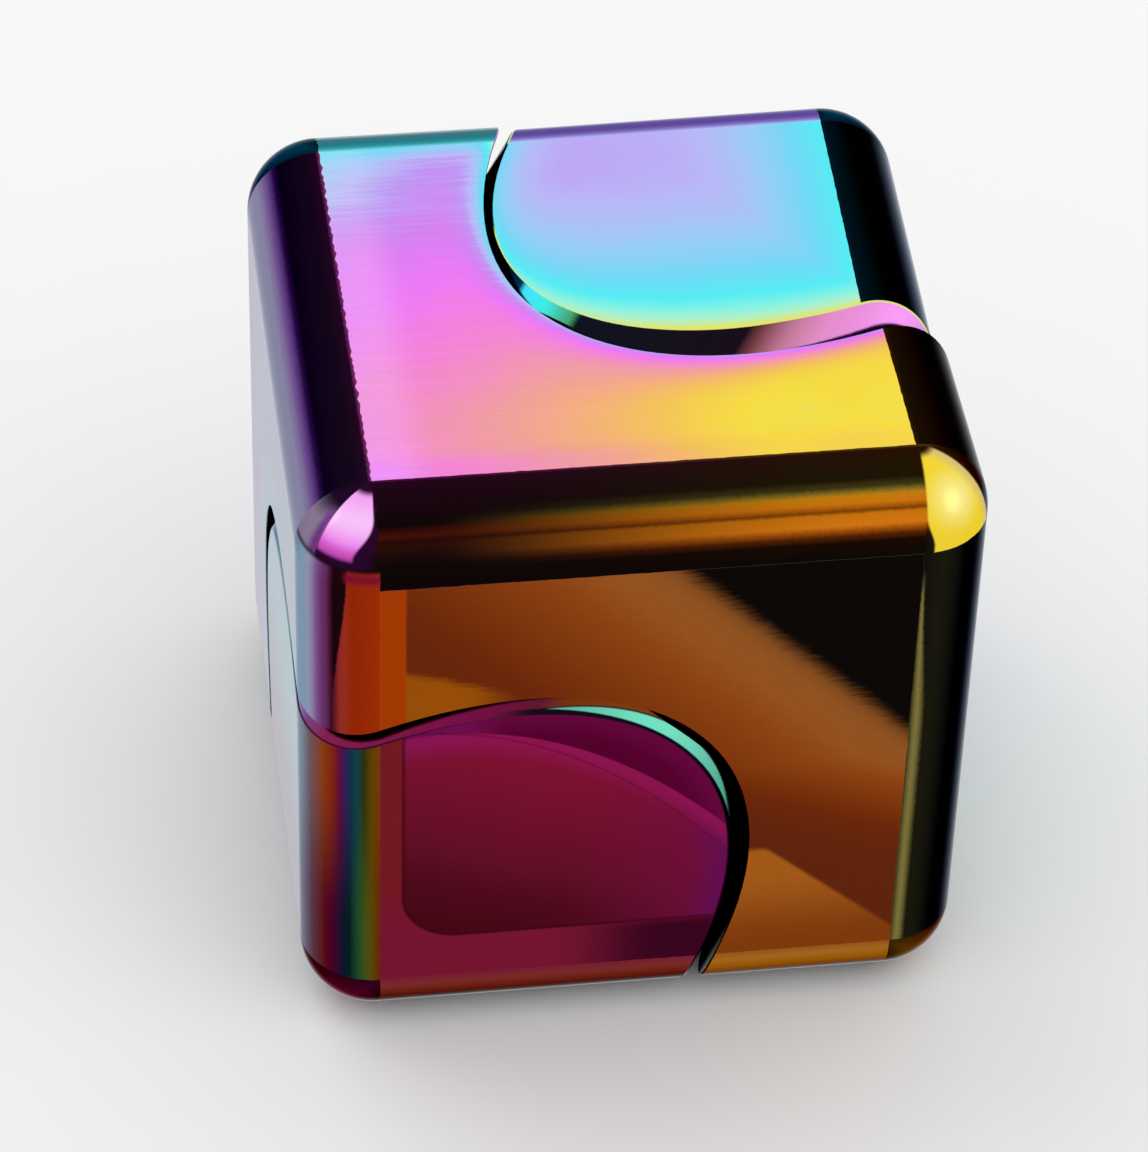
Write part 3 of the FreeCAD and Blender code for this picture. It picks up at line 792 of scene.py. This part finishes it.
def paint_cap(name, angle):
    """The upper and the lower cap: their visible sides differ, and each shows only its own."""
    upper = angle != 0.0
    material, point = new_material(name)
    tree = point.tree
    skin = Skin(turned(point, -angle), CAP_RADIUS, 1.0)
    x, y, z = skin.x, skin.y, skin.z
    marks = streaked(skin)
    drift = noise(point, scale=0.25, detail=1.0)
    rim_rise = exponential((skin.radius - CAP_RADIUS) * 1.5) * 0.17
    mill = noise(joined(x * 0.3, y * 6.0, z * 6.0), detail=2.0, roughness=0.6)
    top = upper_cap_top(skin, rim_rise, drift, mill)
    right = film(0.55 + z * 0.014 - y * 0.01 + rim_rise + drift * 0.06, 0.5)
    back = film(0.74 + x * 0.016 - z * 0.012 + rim_rise + drift * 0.06, 0.5)
    left = mix(fade(z, 1.0, -9.0), LEFT_BLUE, LEFT_MAUVE)
    under = film(0.30 + x * 0.012 + y * 0.016 + rim_rise, 0.8)
    colour = layered(top, [
        (skin.side("right"), right), (skin.side("back"), back),
        (skin.side("front"), lower_cap_front(skin, drift, marks)), (skin.side("left"), left),
        (skin.side("bottom"), under), (skin.side("top"), top),
    ] + cap_edges(skin, marks))

    wall = bands(skin.around, UPPER_WALL) if upper else lower_cap_wall(skin)
    wall = mix(fade(abs(skin.around), *FAR_WALL_BLEND), wall, FAR_WALL)
    # the upper cap's rim is a pale painted highlight, the lower cap's a dark line of painted shade; the
    # boss inside is painted shade
    rim = UPPER_RIM_HIGHLIGHT if upper else LOWER_RIM
    boss = fade(skin.radius, CAP_RADIUS - 0.3, CAP_RADIUS - 0.5) * (1 - skin.skin)
    colour = layered(colour, [
        (1 - skin.skin, rim), (skin.wall, wall), (boss, PAINTED_BOSS_SHADE),
    ])
    rough = 0.14 + mill * 0.06 + marks * 0.05
    normal = world_normal(tree, skin, angle)
    finish(colour, rough, mill * 0.5 + marks * 0.3, normal, (1 - skin.wall) * RIM_LIGHT)
    return material


# ---------------------------------------------------------------- the pieces inside
def paint_metal(name, colour, grain, rough):
    """Turned or drawn metal, its fine tool marks running round the diagonal."""
    material, point = new_material(name)
    along = vector("DOT_PRODUCT", point, tuple(DIAGONAL))
    radial = vector("LENGTH", vector("SUBTRACT", point, scaled(tuple(DIAGONAL), along)))
    rings = noise(joined(along * grain, radial * grain, 0.0), detail=3.0)
    blotches = noise(point, scale=0.6, detail=3.0)
    dark = [channel * 0.72 for channel in colour]
    shade = mix(fade(rings + blotches, -0.5, 0.5), dark, colour)
    finish(shade, rough + rings * 0.12, rings * 0.8)
    return material


METALS = {                  # colour, tool marks to the millimetre, roughness
    "ring_steel": ((196, 198, 202), 14.0, 0.22),
    "ball_steel": ((222, 224, 228), 3.0, 0.06),
    "cage_brass": ((206, 170, 92), 9.0, 0.3),
    "shield_steel": ((186, 188, 193), 11.0, 0.28),
    "spring_steel": ((104, 106, 112), 16.0, 0.32),
    "black_steel": ((44, 44, 48), 8.0, 0.42),
    "shim_brass": ((214, 180, 104), 12.0, 0.24),
}


def paint_pieces():
    """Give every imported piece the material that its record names; each cap has its own."""
    materials = {name: paint_metal(name, *look) for name, look in METALS.items()}
    materials["rainbow_body"] = paint_body()
    caps = {
        "upper_corner_cap": paint_cap("rainbow_cap_upper", CLOCKING),
        "lower_corner_cap": paint_cap("rainbow_cap_lower", 0.0),
    }
    for part in frame["record"]["subparts"]:
        name = part["node"]
        piece = frame["nodes"][name]
        piece.data.materials.clear()
        piece.data.materials.append(caps.get(name) or materials[part["material_slot"]])


# ---------------------------------------------------------------- floor, light and camera
AMBIENT = 0.9               # what lights the floor
BACKDROP = 0.925            # what the camera sees past the floor
FLOOR_COLOUR = (0.93, 0.93, 0.925, 1)
FLOOR_SIZE = 20.0
SOFT_BOXES = [              # mirrored in the metal: direction, half angle in degrees, brightness
    ((-0.83, 0.27, 0.52), 20, 0.32),
    ((0.80, -0.42, 0.37), 20, 0.22),
]
LAMPS = [                   # name, place and diameter in metres, power in watts
    ("key", (-0.7, 0.9, 1.6), 1.2, 4.4),
    ("fill", (1.1, -0.9, 1.3), 1.4, 2.4),
]
CAMERA_PLACE = (-26.671, -164.865, 144.634)     # millimetres
CAMERA_TURNS = (48.794, -1.412, -7.605)         # degrees about x, y and z
CAMERA_LENS = 160.56


def add_floor():
    bpy.ops.mesh.primitive_plane_add(size=FLOOR_SIZE, location=(0, 0, BODY_LOW.z))
    floor = bpy.context.object
    floor.name = "floor"
    floor.visible_glossy = False
    material = bpy.data.materials.new("pale_floor")
    material.use_nodes = True
    shader = material.node_tree.nodes["Principled BSDF"]
    shader.inputs["Base Color"].default_value = FLOOR_COLOUR
    shader.inputs["Roughness"].default_value = 0.9
    shader.inputs["Specular IOR Level"].default_value = 0.1
    floor.data.materials.append(material)


def add_lamp(name, place, size, power):
    """A round area lamp that looks at the cube and is not mirrored in it."""
    light = bpy.data.lights.new(name, "AREA")
    light.shape = "DISK"
    light.size = size
    light.energy = power
    lamp = bpy.data.objects.new(name, light)
    lamp.location = place
    lamp.rotation_euler = (-Vector(place)).to_track_quat("-Z", "Y").to_euler()
    lamp.visible_glossy = False
    bpy.context.scene.collection.objects.link(lamp)


def add_studio():
    """Even pale surroundings; what the metal mirrors is brighter where the soft boxes stand."""
    world = bpy.data.worlds.new("studio")
    bpy.context.scene.world = world
    world.use_nodes = True
    tree = world.node_tree
    coords = tree.nodes.new("ShaderNodeTexCoord")
    toward = vector("NORMALIZE", Field(tree, coords.outputs["Generated"]))
    mirrored = 1.0 + parts(toward)[2] * 0.04
    for aim, spread, gain in SOFT_BOXES:
        cosine = vector("DOT_PRODUCT", toward, tuple(Vector(aim).normalized()))
        mirrored = mirrored + fade(cosine, math.cos(math.radians(spread)), 1.0) * gain
    rays = tree.nodes.new("ShaderNodeLightPath")
    glossy = Field(tree, rays.outputs["Is Glossy Ray"])
    camera = Field(tree, rays.outputs["Is Camera Ray"])
    strength = AMBIENT + glossy * (mirrored - AMBIENT) + camera * (BACKDROP - AMBIENT)
    background = tree.nodes["Background"]
    background.inputs["Color"].default_value = linear(WHITE)
    feed(tree, background.inputs["Strength"], strength)


def add_camera():
    camera = bpy.data.cameras.new("camera")
    camera.lens = CAMERA_LENS
    camera.clip_start = 0.01
    eye = bpy.data.objects.new("camera", camera)
    eye.location = Vector(CAMERA_PLACE) * MM
    eye.rotation_euler = [math.radians(turn) for turn in CAMERA_TURNS]
    bpy.context.scene.collection.objects.link(eye)
    bpy.context.scene.camera = eye


paint_pieces()
add_floor()
for lamp in LAMPS:
    add_lamp(*lamp)
add_studio()
add_camera()
bpy.context.scene.view_settings.view_transform = "Standard"
